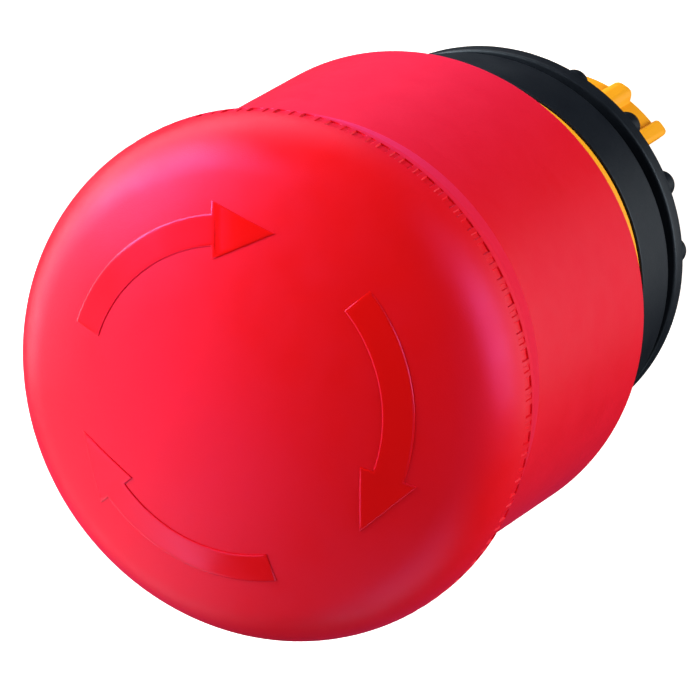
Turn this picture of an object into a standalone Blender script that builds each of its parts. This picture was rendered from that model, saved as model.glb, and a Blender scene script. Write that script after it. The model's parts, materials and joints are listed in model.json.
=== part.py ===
"""Emergency stop button for a 22 mm panel hole: push to stop, turn clockwise to release.

The origin is on the axis, in the panel's front face. +Z points out of the panel, to the operator.
Every length below is in millimetres, and MM turns it into metres.
"""

import math

import bmesh
import bpy
from mathutils import Vector

MM = 0.001
CLEAR = 0.2  # ordinary gap between neighbours
SLIP = 0.35  # gap round a piece that slides or turns

# Roundness of turned pieces
OUTER_STEPS = 48
INNER_STEPS = 32

# Motion that the shapes leave room for
PRESS_TRAVEL = 4.5
PAWL_TRAVEL = 0.9
RELEASE_TURN = 45.0

# Head
HEAD_R = 19.0
HEAD_TOP_Z = 44.2
CROWN_R = 38.0
SHOULDER_R = 5.7
CAP_WALL = 1.8
CAP_RIM_Z = 35.0
CAP_LIP_Z = 32.1
CAP_LIP_R = 16.2
CAP_LIP_WALL = 1.2
CAP_LIP_ROOT_Z = 36.8
CAP_INNER_END = 35.0  # where the hollow's rounded shoulder ends, in degrees above its centre
SKIRT_R = 17.6
SKIRT_REAR_Z = 11.2
SKIRT_BORE_R = 16.0
FLARE_Z = 30.6
FLARE_R = 18.75
WEB_Z = 29.3
WEB_TOP_Z = 31.0
POST_IN_R = 9.8
POST_OUT_R = 11.8
POST_SPAN = 8.0
POST_TOP_Z = 34.2
POST_STARTS = (-20.0, RELEASE_TURN + 12.0)

# Front of the panel
BEZEL_R = 14.9
BEZEL_FRONT_Z = 4.9
BEZEL_BORE_R = 11.3
POCKET_R = 12.4
POCKET_Z = 1.9
GASKET_IN_R = 12.0
GASKET_OUT_R = 13.7
GASKET_DEPTH = 1.3
COLLAR_R = 14.0
COLLAR_BORE_R = 12.6
COLLAR_FLANGE_R = 14.9
COLLAR_FLANGE_Z = 5.0
COLLAR_FLANGE_TOP_Z = 6.0
ROOF_Z = 18.5
ROOF_TOP_Z = 20.0
ROOF_HOLE_R = 7.0

# Body through the panel
BODY_R = 10.95
BODY_REAR_Z = -9.0
BODY_BORE_R = 8.8
BODY_FLANGE_R = 12.1
BODY_FLANGE_Z = 3.0
BODY_FLANGE_TOP_Z = 4.9
FLOOR_Z = -4.0
FLOOR_TOP_Z = -3.0
FLOOR_HOLE_R = 4.7
SPIGOT_BORE_R = 9.4
KEY_WIDTH = 3.0
KEY_R = 12.0
KEY_REAR_Z = -1.6
KEYWAY_FLOOR_R = 10.2
KEYWAY_WIDTH = 3.2

# Ring nut and its washer
PANEL_GAP = 2.05
WASHER_R = 14.6
WASHER_THICK = 1.5
NUT_BORE_R = 11.35
NUT_R = 12.8
NUT_LUG_R = 1.05
NUT_LUG_TIP_R = 13.7
NUT_LUGS = 16
NUT_LUG_AT = 279.9
NUT_LENGTH = 3.15

# Rear bayonet ring
BAYONET_R = 9.15
BAYONET_BORE_R = 8.3
BAYONET_REAR_Z = -13.6
BAYONET_TOP_Z = -4.4
CAM_PLATE_R = 10.2
CAM_PLATE_START = 270.9
CAM_PLATE_SPAN = 49.0
LUG_REAR_Z = -15.0
LUG_TOP_Z = -10.5
WEDGE_LUG_R = 11.05
WEDGE_LUG_START = 289.1
WEDGE_LUG_SPAN = 13.3
WEDGE_LUG_NARROW = 3.0
SQUARE_LUG_R = 10.85
SQUARE_LUG_START = 270.9
SQUARE_LUG_SPAN = 6.9

# Stem and what is fastened to it
STEM_R = 2.0
STEM_TOP_Z = 33.2
STEM_REAR_Z = -13.9
SCREW_HOLE_R = 1.15
SCREW_HOLE_DEPTH = 4.6
CLIP_GROOVE_R = 1.4
CLIP_GROOVE_Z = -13.4
CLIP_GROOVE_TOP_Z = -12.6
CLIP_IN_R = 1.65
CLIP_OUT_R = 3.4
CLIP_GAP = 60.0
CLIP_CLEAR = 0.1
DISC_BORE_R = 1.3
DISC_R = 8.6
DISC_THICK = 1.2
ARM_ROOT_R = 7.6
ARM_TIP_R = 12.0
ARM_SPAN = 20.0
SCREW_R = 0.95
SCREW_LENGTH = 4.2
SCREW_HEAD_R = 2.5
SCREW_HEAD_HEIGHT = 1.6
SCREW_EDGE = 0.3
SOCKET_R = 1.1
SOCKET_DEPTH = 1.0
PLATE_R = 7.8
PLATE_Z = -12.3
PLATE_TOP_Z = -10.9
PAD_IN_X = 4.0
PAD_OUT_X = 7.0
PAD_WIDTH = 5.0
PAD_Z = -14.0

# Latch and plunger
PLUNGER_HUB_R = 4.2
PLUNGER_R = 8.5
PLUNGER_FLANGE_Z = 7.6
PAWL_FLOOR_Z = 11.5
PLUNGER_TOP_Z = 15.2
PLUNGER_REAR_Z = -10.7
PAWL_WIDTH = 5.0
PAWL_Z = 11.8
PAWL_TOP_Z = 14.4
PAWL_ROOT_X = 4.6
NIB_X = 6.2
NIB_R = 0.6
NIB_TOP_Z = 16.9
LATCH_RING_R = 12.35
LATCH_RING_Z = 5.3
LATCH_RING_TOP_Z = 15.2
LATCH_NECK_R = 9.95
LATCH_SLOPE = PAWL_TRAVEL / PRESS_TRAVEL
LATCH_CONE_Z = 7.5

# Cam sleeve, between head and pawls
CAM_SLEEVE_R = 6.6
CAM_SLEEVE_BORE_R = 4.8
CAM_FLANGE_R = 9.3
CAM_FLANGE_Z = 15.6
CAM_FLANGE_TOP_Z = 17.3
CAM_WINDOW_IN_R = 5.2
CAM_WINDOW_OUT_R = 8.2
CAM_TOP_Z = 29.1
WINDOW_MARGIN = 14.0

# Springs and seals
WIRE = 0.8
RETURN_SPRING_R = 6.4
RETURN_SPRING_TURNS = 5
HEAD_SPRING_R = 11.2
HEAD_SPRING_TURNS = 4
TORSION_WIRE = 0.5
TORSION_SPRING_R = 3.8
TORSION_SPRING_TURNS = 3
SPRING_WASHER_R = 8.1
SPRING_WASHER_THICK = 0.5
SPRING_SEAT = 0.1
STEM_SEAL_R = 9.4
STEM_SEAL_LIP_R = 8.0
STEM_SEAL_GAP = 0.25
STEM_SEAL_Z = ROOF_TOP_Z + 0.1
STEM_SEAL_EDGE_Z = ROOF_TOP_Z + 1.0
STEM_SEAL_TOP_Z = ROOF_TOP_Z + 1.8


def clear_scene():
    for old in list(bpy.data.objects):
        bpy.data.objects.remove(old, do_unlink=True)


def material(name, colour, roughness, metallic=0.0):
    made = bpy.data.materials.new(name)
    made.use_nodes = True
    shader = made.node_tree.nodes["Principled BSDF"]
    shader.inputs["Base Color"].default_value = (*colour, 1.0)
    shader.inputs["Roughness"].default_value = roughness
    shader.inputs["Metallic"].default_value = metallic
    return made


def at_angle(radius, degrees, z=0.0):
    turn = math.radians(degrees)
    return radius * math.cos(turn), radius * math.sin(turn), z


def arc(centre_r, centre_z, radius, start, end, steps):
    """Points of a profile's arc, in degrees from the outward direction, both ends included."""
    turns = [math.radians(start + (end - start) * i / steps) for i in range(steps + 1)]
    return [(centre_r + radius * math.cos(t), centre_z + radius * math.sin(t)) for t in turns]


def add_object(name, mesh, finish=None):
    made = bpy.data.objects.new(name, mesh)
    bpy.context.collection.objects.link(made)
    if finish is not None:
        mesh.materials.append(finish)
    return made


def finished_mesh(name, bm):
    """The bmesh as a mesh with its faces out, round sides smooth and edges sharp."""
    bmesh.ops.remove_doubles(bm, verts=bm.verts, dist=0.001 * MM)
    bmesh.ops.recalc_face_normals(bm, faces=bm.faces)
    mesh = bpy.data.meshes.new(name)
    bm.to_mesh(mesh)
    bm.free()
    mesh.shade_smooth()
    mesh.set_sharp_from_angle(angle=math.radians(32))
    return mesh


def turned_mesh(name, outline, steps, closed=True):
    """A profile of (radius, z) points spun about Z. An open profile starts and ends on the axis."""
    bm = bmesh.new()
    points = [bm.verts.new((r * MM, 0.0, z * MM)) for r, z in outline]
    pairs = list(zip(points, points[1:]))
    if closed:
        pairs.append((points[-1], points[0]))
    edges = [bm.edges.new(pair) for pair in pairs]
    bmesh.ops.spin(
        bm,
        geom=points + edges,
        cent=(0, 0, 0),
        axis=(0, 0, 1),
        angle=math.tau,
        steps=steps,
        use_merge=True,
    )
    return finished_mesh(name, bm)


def turned(name, outline, finish, steps=INNER_STEPS, closed=True):
    return add_object(name, turned_mesh(name, outline, steps, closed), finish)


def tube(name, bore, radius, z, top_z, finish, steps=INNER_STEPS):
    return turned(name, [(bore, z), (radius, z), (radius, top_z), (bore, top_z)], finish, steps)


def prism(name, outline, z, top_z, finish=None):
    """A flat outline of (x, y) points raised from z to top_z."""
    bm = bmesh.new()
    base = bm.faces.new([bm.verts.new((x * MM, y * MM, z * MM)) for x, y in outline])
    raised = bmesh.ops.extrude_face_region(bm, geom=[base])["geom"]
    top = [item for item in raised if isinstance(item, bmesh.types.BMVert)]
    bmesh.ops.translate(bm, verts=top, vec=Vector((0, 0, (top_z - z) * MM)))
    return add_object(name, finished_mesh(name, bm), finish)


def block(name, low, high, finish=None):
    outline = [(low[0], low[1]), (high[0], low[1]), (high[0], high[1]), (low[0], high[1])]
    return prism(name, outline, low[2], high[2], finish)


def sector(name, in_r, out_r, start, end, z, top_z, steps=6, narrow=0.0):
    """A slice of a ring. Narrow takes that many degrees off each side of its outer edge."""
    inner = [start + (end - start) * i / steps for i in range(steps + 1)]
    low, high = start + narrow, end - narrow
    outer = [low + (high - low) * i / steps for i in range(steps + 1)]
    outline = [at_angle(in_r, a)[:2] for a in inner]
    outline += [at_angle(out_r, a)[:2] for a in reversed(outer)]
    return prism(name, outline, z, top_z)


def boolean(target, tool, operation):
    """The tool stays as a wire guide, and the target is cut by it, joined to it or kept inside it."""
    step = target.modifiers.new(f"{operation.lower()}_{tool.name}", "BOOLEAN")
    step.operation = operation
    step.solver = "EXACT"
    step.object = tool
    tool.hide_render = True
    tool.display_type = "WIRE"


def coil(name, centre_r, wire, z, top_z, turns, steps, finish):
    """A wound spring: a helix of round wire with filled ends, whose ends lie between z and top_z."""
    low = z + wire / 2
    rise = top_z - z - wire
    data = bpy.data.curves.new(name, "CURVE")
    data.dimensions = "3D"
    data.bevel_depth = wire / 2 * MM
    data.bevel_resolution = 1
    data.use_fill_caps = True
    line = data.splines.new("POLY")
    count = turns * steps + 1
    line.points.add(count - 1)
    for i, point in enumerate(line.points):
        share = i / (count - 1)
        x, y, height = at_angle(centre_r, 360.0 * turns * share, low + rise * share)
        point.co = (x * MM, y * MM, height * MM, 1.0)
    data.materials.append(finish)
    made = bpy.data.objects.new(name, data)
    bpy.context.collection.objects.link(made)
    return made


def empty(name, parent=None, place=(0.0, 0.0, 0.0)):
    """A frame on a joint's axis, for the pieces that move with it."""
    made = bpy.data.objects.new(name, None)
    made.location = [value * MM for value in place]
    made.parent = parent
    bpy.context.collection.objects.link(made)
    return made


def dome_profile(inset, crown_steps, shoulder_steps, end=0.0):
    """The dome from its apex to its widest line, or to an angle above it, moved inwards by the inset."""
    crown_centre_z = HEAD_TOP_Z - CROWN_R
    centre_r, centre_z = shoulder_centre()
    tangent = math.degrees(math.acos(centre_r / (CROWN_R - SHOULDER_R)))
    crown = arc(0.0, crown_centre_z, CROWN_R - inset, 90.0, tangent, crown_steps)
    shoulder = arc(centre_r, centre_z, SHOULDER_R - inset, tangent, end, shoulder_steps)
    return crown + shoulder[1:]


def shoulder_centre():
    """Centre of the rounded shoulder's arc, as radius and height."""
    centre_r = HEAD_R - SHOULDER_R
    reach = CROWN_R - SHOULDER_R
    return centre_r, HEAD_TOP_Z - CROWN_R + math.sqrt(reach**2 - centre_r**2)


def make_mushroom_cap(finish):
    """Hollow dome whose lip drops into the skirt's cup."""
    centre_r, centre_z = shoulder_centre()
    under = CAP_RIM_Z - centre_z
    rim_r = centre_r + math.sqrt(SHOULDER_R**2 - under**2)
    lip_in_r = CAP_LIP_R - CAP_LIP_WALL
    outline = dome_profile(0.0, 5, 5)
    outline += [(rim_r, CAP_RIM_Z), (CAP_LIP_R, CAP_RIM_Z)]
    outline += [(CAP_LIP_R, CAP_LIP_Z), (lip_in_r, CAP_LIP_Z), (lip_in_r, CAP_LIP_ROOT_Z)]
    outline += reversed(dome_profile(CAP_WALL, 3, 3, CAP_INNER_END))
    outline[0] = (0.0, outline[0][1])
    outline[-1] = (0.0, outline[-1][1])
    return turned("mushroom_cap", outline, finish, OUTER_STEPS, closed=False)


def make_head_skirt(finish):
    """Sleeve under the dome, with a web that the stem passes, and four posts that end the turn."""
    cup_r = CAP_LIP_R + CLEAR
    top_z = CAP_RIM_Z - CLEAR
    outline = [
        (SKIRT_BORE_R, SKIRT_REAR_Z + 0.3),
        (SKIRT_BORE_R + 0.3, SKIRT_REAR_Z),
        (SKIRT_R - 0.3, SKIRT_REAR_Z),
        (SKIRT_R, SKIRT_REAR_Z + 0.3),
        (SKIRT_R, FLARE_Z),
        (FLARE_R - 0.15, top_z - 1.0),
        (FLARE_R, top_z),
        (cup_r, top_z),
        (cup_r, WEB_TOP_Z),
        (STEM_R + SLIP, WEB_TOP_Z),
        (STEM_R + SLIP, WEB_Z),
        (SKIRT_BORE_R, WEB_Z),
    ]
    skirt = turned("head_skirt", outline, finish, OUTER_STEPS)
    for side in (0.0, 180.0):
        for number, start in enumerate(POST_STARTS):
            post = sector(
                f"guide_post_{number}_{int(side)}",
                POST_IN_R,
                POST_OUT_R,
                side + start,
                side + start + POST_SPAN,
                WEB_TOP_Z - 0.5,
                POST_TOP_Z,
                steps=2,
            )
            boolean(skirt, post, "UNION")
    return skirt


def make_indicator_collar(finish):
    """Fixed collar that houses the latch, with a roof that the cam sleeve passes."""
    outline = [
        (COLLAR_BORE_R, COLLAR_FLANGE_Z),
        (COLLAR_FLANGE_R, COLLAR_FLANGE_Z),
        (COLLAR_FLANGE_R, COLLAR_FLANGE_TOP_Z - 0.2),
        (COLLAR_FLANGE_R - 0.2, COLLAR_FLANGE_TOP_Z),
        (COLLAR_R, COLLAR_FLANGE_TOP_Z),
        (COLLAR_R, ROOF_TOP_Z - 0.6),
        (COLLAR_R - 0.6, ROOF_TOP_Z),
        (ROOF_HOLE_R, ROOF_TOP_Z),
        (ROOF_HOLE_R, ROOF_Z),
        (COLLAR_BORE_R, ROOF_Z),
    ]
    return turned("indicator_collar", outline, finish, OUTER_STEPS)


def make_bezel(finish):
    """Front ring that lies on the panel, with a pocket for the body's flange and a seal groove."""
    outline = [
        (BEZEL_BORE_R, 0.0),
        (GASKET_IN_R, 0.0),
        (GASKET_IN_R, GASKET_DEPTH),
        (GASKET_OUT_R, GASKET_DEPTH),
        (GASKET_OUT_R, 0.0),
        (BEZEL_R - 0.3, 0.0),
        (BEZEL_R, 0.3),
        (BEZEL_R, BEZEL_FRONT_Z - 0.2),
        (BEZEL_R - 0.2, BEZEL_FRONT_Z),
        (POCKET_R, BEZEL_FRONT_Z),
        (POCKET_R, POCKET_Z),
        (BEZEL_BORE_R, POCKET_Z),
    ]
    return turned("bezel", outline, finish, OUTER_STEPS)


def make_threaded_body(finish):
    """Body through the panel: flange in the bezel, spring floor inside, key and keyway outside."""
    outline = [
        (SPIGOT_BORE_R, BODY_REAR_Z),
        (BODY_R - 0.6, BODY_REAR_Z),
        (BODY_R, BODY_REAR_Z + 0.6),
        (BODY_R, BODY_FLANGE_Z),
        (BODY_FLANGE_R, BODY_FLANGE_Z),
        (BODY_FLANGE_R, BODY_FLANGE_TOP_Z),
        (BODY_BORE_R, BODY_FLANGE_TOP_Z),
        (BODY_BORE_R, FLOOR_TOP_Z),
        (FLOOR_HOLE_R, FLOOR_TOP_Z),
        (FLOOR_HOLE_R, FLOOR_Z),
        (SPIGOT_BORE_R, FLOOR_Z),
    ]
    body = turned("threaded_body", outline, finish, OUTER_STEPS)
    half = KEY_WIDTH / 2
    key = block("guide_key", (-half, BODY_R - 0.8, KEY_REAR_Z), (half, KEY_R, -CLEAR))
    boolean(body, key, "UNION")
    half = KEYWAY_WIDTH / 2
    keyway = block("guide_keyway", (-BODY_R - 1.0, -half, BODY_REAR_Z - 1.0), (-KEYWAY_FLOOR_R, half, -0.5))
    boolean(body, keyway, "DIFFERENCE")
    return body


def make_bayonet_ring(finish):
    """Rear ring pressed in the body. Two cam plates with two lugs each lock the contact block's adapter."""
    outline = [
        (BAYONET_BORE_R, BAYONET_REAR_Z),
        (BAYONET_R - 0.2, BAYONET_REAR_Z),
        (BAYONET_R, BAYONET_REAR_Z + 0.2),
        (BAYONET_R, BAYONET_TOP_Z),
        (BAYONET_BORE_R, BAYONET_TOP_Z),
    ]
    ring = turned("bayonet_ring", outline, finish, OUTER_STEPS)
    root_r = (BAYONET_R + BAYONET_BORE_R) / 2
    lug_root_r = CAM_PLATE_R - 0.5
    for side in (0.0, 180.0):
        for name, in_r, out_r, start, span, narrow in (
            ("plate", root_r, CAM_PLATE_R, CAM_PLATE_START, CAM_PLATE_SPAN, 0.0),
            ("wedge", lug_root_r, WEDGE_LUG_R, WEDGE_LUG_START, WEDGE_LUG_SPAN, WEDGE_LUG_NARROW),
            ("square", lug_root_r, SQUARE_LUG_R, SQUARE_LUG_START + 0.1, SQUARE_LUG_SPAN, 0.0),
        ):
            low = LUG_REAR_Z if name == "plate" else LUG_REAR_Z + 0.05
            high = LUG_TOP_Z if name == "plate" else LUG_TOP_Z - 0.05
            lug = sector(
                f"guide_{name}_{int(side)}",
                in_r,
                out_r,
                side + start,
                side + start + span,
                low,
                high,
                steps=6,
                narrow=narrow,
            )
            boolean(ring, lug, "UNION")
    return ring


def make_thrust_washer(finish):
    """Flange on the panel's rear. Its tab runs in the body's keyway, so it slides and can't turn."""
    z = -PANEL_GAP - WASHER_THICK
    outline = [
        (NUT_BORE_R, z),
        (WASHER_R - 0.25, z),
        (WASHER_R, z + 0.25),
        (WASHER_R, -PANEL_GAP - 0.2),
        (WASHER_R - 0.2, -PANEL_GAP),
        (NUT_BORE_R, -PANEL_GAP),
    ]
    washer = turned("thrust_washer", outline, finish, OUTER_STEPS)
    half = KEYWAY_WIDTH / 2 - CLEAR
    low = (-NUT_BORE_R - 1.0, -half, z + 0.1)
    tab = block("guide_tab", low, (-KEYWAY_FLOOR_R - SLIP, half, -PANEL_GAP - 0.1))
    boolean(washer, tab, "UNION")
    return washer


def lobed_outline(radius, tip_r, lug_r, lugs, first, lug_steps):
    """A circle with round lugs that stand out of it as far as the tip radius."""
    centre_r = tip_r - lug_r
    reach = (radius**2 - centre_r**2 - lug_r**2) / (2 * centre_r * lug_r)
    lean = math.degrees(math.acos(reach))
    outline = []
    pitch = 360.0 / lugs
    for number in range(lugs):
        middle = first + pitch * number
        centre = at_angle(centre_r, middle)
        for i in range(lug_steps + 1):
            offset = at_angle(lug_r, middle - lean + 2 * lean * i / lug_steps)
            outline.append((centre[0] + offset[0], centre[1] + offset[1]))
        outline.append(at_angle(radius, middle + pitch / 2)[:2])
    return outline


def make_ring_nut(finish):
    """Nut with round grip lugs, behind its washer."""
    top_z = -PANEL_GAP - WASHER_THICK - CLEAR
    outline = lobed_outline(NUT_R, NUT_LUG_TIP_R, NUT_LUG_R, NUT_LUGS, NUT_LUG_AT, 4)
    nut = prism("ring_nut", outline, top_z - NUT_LENGTH, top_z, finish)
    bore = [(0.0, top_z - NUT_LENGTH - 1.0), (NUT_BORE_R, top_z - NUT_LENGTH - 1.0)]
    bore += [(NUT_BORE_R, top_z + 1.0), (0.0, top_z + 1.0)]
    cutter = add_object("guide_nut_bore", turned_mesh("guide_nut_bore", bore, OUTER_STEPS, closed=False))
    boolean(nut, cutter, "DIFFERENCE")
    return nut


def make_stem(finish):
    """Spindle of the head: a screw hole in its top and a clip groove near its rear end."""
    outline = [
        (0.0, STEM_REAR_Z),
        (STEM_R - 0.3, STEM_REAR_Z),
        (STEM_R, STEM_REAR_Z + 0.3),
        (STEM_R, CLIP_GROOVE_Z),
        (CLIP_GROOVE_R, CLIP_GROOVE_Z),
        (CLIP_GROOVE_R, CLIP_GROOVE_TOP_Z),
        (STEM_R, CLIP_GROOVE_TOP_Z),
        (STEM_R, STEM_TOP_Z),
        (SCREW_HOLE_R, STEM_TOP_Z),
        (SCREW_HOLE_R, STEM_TOP_Z - SCREW_HOLE_DEPTH),
        (0.0, STEM_TOP_Z - SCREW_HOLE_DEPTH),
    ]
    return turned("stem", outline, finish, closed=False)


def make_plunger(finish):
    """Slider on the stem: spring flange below, and a drum with two slots that guide the pawls."""
    bore = STEM_R + CLEAR
    outline = [
        (bore, PLUNGER_REAR_Z),
        (PLUNGER_HUB_R, PLUNGER_REAR_Z),
        (PLUNGER_HUB_R, PLUNGER_FLANGE_Z),
        (PLUNGER_R, PLUNGER_FLANGE_Z),
        (PLUNGER_R, PLUNGER_TOP_Z),
        (bore, PLUNGER_TOP_Z),
    ]
    plunger = turned("plunger", outline, finish)
    half = PAWL_WIDTH / 2 + CLEAR
    for name, side in (("left", -1), ("right", 1)):
        ends = sorted((side * (PAWL_ROOT_X - 0.5), side * (PLUNGER_R + 1.0)))
        slot = block(
            f"guide_slot_{name}", (ends[0], -half, PAWL_FLOOR_Z), (ends[1], half, PLUNGER_TOP_Z + 1.0)
        )
        boolean(plunger, slot, "DIFFERENCE")
    return plunger


def latch_r(z):
    """Bore of the latch ring, which widens towards the rear so that the pawls spread."""
    return LATCH_NECK_R + (LATCH_RING_TOP_Z - z) * LATCH_SLOPE


def make_latch_ring(finish):
    cone_r = latch_r(LATCH_CONE_Z)
    outline = [
        (cone_r, LATCH_RING_Z),
        (LATCH_RING_R, LATCH_RING_Z),
        (LATCH_RING_R, LATCH_RING_TOP_Z),
        (LATCH_NECK_R, LATCH_RING_TOP_Z),
        (cone_r, LATCH_CONE_Z),
    ]
    return turned("latch_ring", outline, finish, OUTER_STEPS)


def make_pawl(name, side, finish):
    """Latch pawl with a sloped nose for the latch ring and a nib that the cam window draws in."""
    half = PAWL_WIDTH / 2
    ends = sorted((side * PAWL_ROOT_X, side * (LATCH_NECK_R + 2.0)))
    pawl = block(name, (ends[0], -half, PAWL_Z), (ends[1], half, PAWL_TOP_Z), finish)
    low_z = PAWL_Z - 1.0
    high_z = PAWL_TOP_Z + 1.0
    slope = [(0.0, low_z), (latch_r(low_z) - SLIP, low_z), (latch_r(high_z) - SLIP, high_z), (0.0, high_z)]
    cone_name = f"guide_nose_{name}"
    cone = add_object(cone_name, turned_mesh(cone_name, slope, OUTER_STEPS, closed=False))
    boolean(pawl, cone, "INTERSECT")
    outline = [at_angle(NIB_R, 45.0 * i)[:2] for i in range(8)]
    outline = [(x + side * NIB_X, y) for x, y in outline]
    nib = prism(f"guide_nib_{name}", outline, PAWL_TOP_Z - 0.5, NIB_TOP_Z)
    boolean(pawl, nib, "UNION")
    return pawl


def make_cam_sleeve(finish):
    """Sleeve that turns with the head. Its flange has a curved window over each pawl's nib."""
    outline = [
        (STEM_R + SLIP, CAM_FLANGE_Z),
        (CAM_FLANGE_R, CAM_FLANGE_Z),
        (CAM_FLANGE_R, CAM_FLANGE_TOP_Z),
        (CAM_SLEEVE_R, CAM_FLANGE_TOP_Z),
        (CAM_SLEEVE_R, CAM_TOP_Z),
        (CAM_SLEEVE_BORE_R, CAM_TOP_Z),
        (CAM_SLEEVE_BORE_R, CAM_FLANGE_TOP_Z),
        (STEM_R + SLIP, CAM_FLANGE_TOP_Z),
    ]
    sleeve = turned("cam_sleeve", outline, finish)
    for side in (0.0, 180.0):
        window = sector(
            f"guide_window_{int(side)}",
            CAM_WINDOW_IN_R,
            CAM_WINDOW_OUT_R,
            side - WINDOW_MARGIN,
            side + RELEASE_TURN + WINDOW_MARGIN,
            CAM_FLANGE_Z - 1.0,
            CAM_FLANGE_TOP_Z + 0.2,
        )
        boolean(sleeve, window, "DIFFERENCE")
    return sleeve


def make_stop_disc(finish):
    """Disc screwed on the stem. Its two arms meet the skirt's posts at each end of the turn."""
    z = STEM_TOP_Z + CLEAR
    disc = tube("stop_disc", DISC_BORE_R, DISC_R, z, z + DISC_THICK, finish)
    for side in (0.0, 180.0):
        arm = sector(
            f"guide_arm_{int(side)}",
            ARM_ROOT_R,
            ARM_TIP_R,
            side - ARM_SPAN / 2,
            side + ARM_SPAN / 2,
            z + 0.05,
            z + DISC_THICK - 0.05,
            steps=3,
        )
        boolean(disc, arm, "UNION")
    return disc


def make_cap_screw(finish):
    """Screw in the stem's top, with a socket in its head."""
    seat_z = STEM_TOP_Z + DISC_THICK + 2 * CLEAR
    top_z = seat_z + SCREW_HEAD_HEIGHT
    outline = [
        (0.0, STEM_TOP_Z - SCREW_LENGTH),
        (SCREW_R, STEM_TOP_Z - SCREW_LENGTH),
        (SCREW_R, seat_z),
        (SCREW_HEAD_R, seat_z),
        (SCREW_HEAD_R, top_z - SCREW_EDGE),
        (SCREW_HEAD_R - SCREW_EDGE, top_z),
        (SOCKET_R, top_z),
        (SOCKET_R, top_z - SOCKET_DEPTH),
        (0.0, top_z - SOCKET_DEPTH),
    ]
    return turned("cap_screw", outline, finish, 24, closed=False)


def make_thrust_plate(finish):
    """Rear foot of the plunger, with two pads for the contact block's plungers."""
    plate = tube("thrust_plate", STEM_R + CLEAR, PLATE_R, PLATE_Z, PLATE_TOP_Z, finish)
    half = PAD_WIDTH / 2
    for name, side in (("left", -1), ("right", 1)):
        ends = sorted((side * PAD_IN_X, side * PAD_OUT_X))
        pad = block(f"guide_pad_{name}", (ends[0], -half, PAD_Z), (ends[1], half, PLATE_TOP_Z - 0.5))
        boolean(plate, pad, "UNION")
    return plate


def make_retaining_clip(finish):
    """Open ring in the stem's groove, under the thrust plate."""
    clip = sector(
        "retaining_clip",
        CLIP_IN_R,
        CLIP_OUT_R,
        CLIP_GAP / 2,
        360.0 - CLIP_GAP / 2,
        CLIP_GROOVE_Z + CLIP_CLEAR,
        CLIP_GROOVE_TOP_Z - CLIP_CLEAR,
        steps=16,
    )
    clip.data.materials.append(finish)
    return clip


def make_panel_gasket(finish):
    return tube(
        "panel_gasket", GASKET_IN_R + 0.1, GASKET_OUT_R - 0.1, 0.0, GASKET_DEPTH - 0.1, finish, OUTER_STEPS
    )


def make_body_seal(finish):
    return tube("body_seal", BODY_R + 0.3, POCKET_R - 0.2, POCKET_Z + 0.1, BODY_FLANGE_Z - 0.1, finish)


def make_stem_seal(finish):
    """Lip seal on the collar's roof, round the cam sleeve."""
    bore = CAM_SLEEVE_R + STEM_SEAL_GAP
    outline = [
        (bore, STEM_SEAL_Z),
        (STEM_SEAL_R, STEM_SEAL_Z),
        (STEM_SEAL_R, STEM_SEAL_EDGE_Z),
        (STEM_SEAL_LIP_R, STEM_SEAL_TOP_Z),
        (bore, STEM_SEAL_TOP_Z),
    ]
    return turned("stem_seal", outline, finish)


def make_spring_washer(finish):
    z = PLUNGER_FLANGE_Z - SPRING_SEAT - SPRING_WASHER_THICK
    top_z = z + SPRING_WASHER_THICK
    return tube("spring_washer", PLUNGER_HUB_R + CLEAR, SPRING_WASHER_R, z, top_z, finish)


def make_return_spring(finish):
    """Lifts the plunger off the body's floor."""
    top_z = PLUNGER_FLANGE_Z - SPRING_WASHER_THICK - 2 * SPRING_SEAT
    z = FLOOR_TOP_Z + SPRING_SEAT
    return coil("return_spring", RETURN_SPRING_R, WIRE, z, top_z, RETURN_SPRING_TURNS, 14, finish)


def make_head_spring(finish):
    """Lifts the head's web off the collar's roof."""
    z = ROOF_TOP_Z + SPRING_SEAT
    top_z = WEB_Z - SPRING_SEAT
    return coil("head_spring", HEAD_SPRING_R, WIRE, z, top_z, HEAD_SPRING_TURNS, 18, finish)


def make_torsion_spring(finish):
    """Turns the head back after a release."""
    z = WEB_TOP_Z + 0.15
    return coil(
        "torsion_spring", TORSION_SPRING_R, TORSION_WIRE, z, STEM_TOP_Z, TORSION_SPRING_TURNS, 12, finish
    )


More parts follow.
